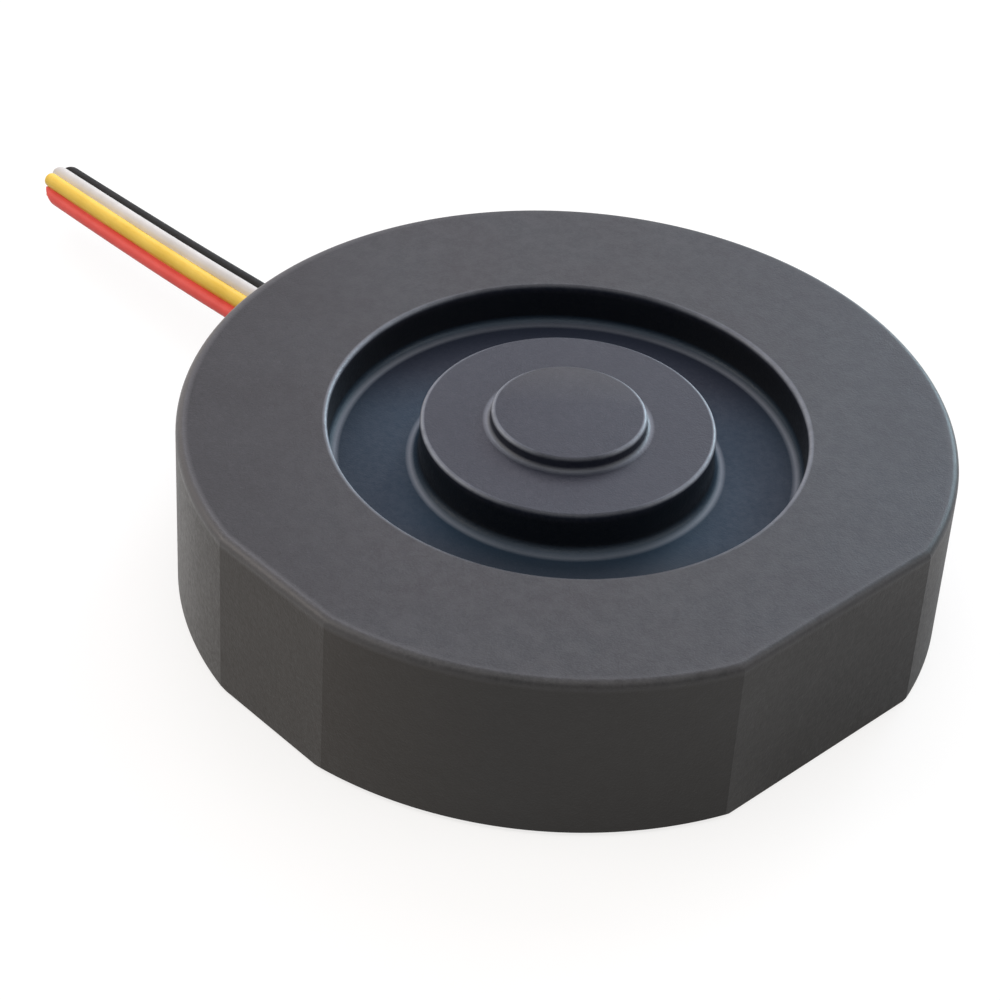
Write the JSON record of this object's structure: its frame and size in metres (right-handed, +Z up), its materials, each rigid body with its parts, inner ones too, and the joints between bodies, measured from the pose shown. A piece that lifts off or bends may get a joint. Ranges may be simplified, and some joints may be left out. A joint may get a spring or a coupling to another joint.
{
  "type": "weighing load cell",
  "caption": "Round blackened-steel compression load cell with a ring groove, a central load button, milled flats on its wall and four bonded wires in four colours.",
  "frame": {"origin": "on the body's axis, in the plane of the base ring that it stands on", "axes": "+Z up through the load button, +X out of the wide flat, -Y out of the narrow flat; the wires leave along -X"},
  "size_m": [0.078, 0.0495, 0.0132],
  "materials": {
    "blackened_steel": "satin",
    "pvc_black": "satin",
    "pvc_white": "satin",
    "pvc_yellow": "satin",
    "pvc_red": "satin",
    "copper": "satin",
    "gauge_foil": "satin",
    "polyimide": "gloss",
    "board_laminate": "satin",
    "chip_ceramic": "matte",
    "solder": "satin",
    "sealant": "matte",
    "adhesive": "matte"
  },
  "bodies": {
    "root": {"spring_element": "blackened_steel", "base_cover": "blackened_steel", "cover_adhesive": "adhesive", "terminal_board": "board_laminate", "board_adhesive": "adhesive", "board_pads": "copper", "balance_resistor": "chip_ceramic", "span_resistor_1": "chip_ceramic", "span_resistor_2": "chip_ceramic", "solder_joints": "solder", "wire_seal": "sealant", "gauge_carrier_1": "polyimide", "gauge_grid_1": "gauge_foil", "gauge_leads_1": "copper", "gauge_carrier_2": "polyimide", "gauge_grid_2": "gauge_foil", "gauge_leads_2": "copper", "gauge_carrier_3": "polyimide", "gauge_grid_3": "gauge_foil", "gauge_leads_3": "copper", "gauge_carrier_4": "polyimide", "gauge_grid_4": "gauge_foil", "gauge_leads_4": "copper", "wire_black": "pvc_black", "conductor_black": "copper", "wire_white": "pvc_white", "conductor_white": "copper", "wire_yellow": "pvc_yellow", "conductor_yellow": "copper", "wire_red": "pvc_red", "conductor_red": "copper"}
  },
  "joints": []
}
